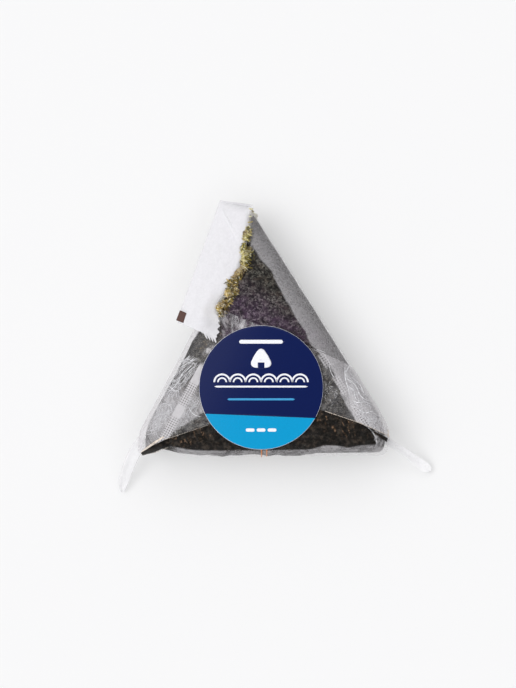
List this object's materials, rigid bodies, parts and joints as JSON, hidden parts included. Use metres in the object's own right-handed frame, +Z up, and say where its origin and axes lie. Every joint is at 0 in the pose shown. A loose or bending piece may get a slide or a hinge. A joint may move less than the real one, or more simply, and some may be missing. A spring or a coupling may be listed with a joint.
{
  "type": "packed onigiri rice ball",
  "caption": "Triangular nori-wrapped rice ball in a shut clear film pack lying flat, with folded side flaps held by a round label, a top tab and film tails.",
  "frame": {"origin": "middle of the footprint, on the surface that the pack lies on", "axes": "+Z up out of the labelled face, +Y towards the triangle's tip, +X to the right when the tip is up and the label faces the viewer"},
  "size_m": [0.1242, 0.115, 0.0305],
  "materials": {
    "nori": "dry roasted seaweed sheet, dark olive brown, fine fibres with a faint purple sheen",
    "rice": "pressed boiled rice, off-white",
    "film": "thin clear wrapping film with a slight haze, creases and dotted heat seals",
    "matte_film": "whitened translucent wrapping film",
    "label_navy": "satin printed paper sticker, navy",
    "label_cyan": "satin printed paper sticker, light blue",
    "label_white": "satin white print",
    "print_brown": "printed registration square, dark brown",
    "tear_tape": "thin orange tear tape lines"
  },
  "bodies": {
    "root": {"rice_ball": "rice", "nori_wrap": "nori", "left_flap": "film", "right_flap": "film", "base_flap": "film", "label": "label_navy", "top_tab": "matte_film", "left_tail": "matte_film", "right_tail": "matte_film"}
  },
  "joints": []
}
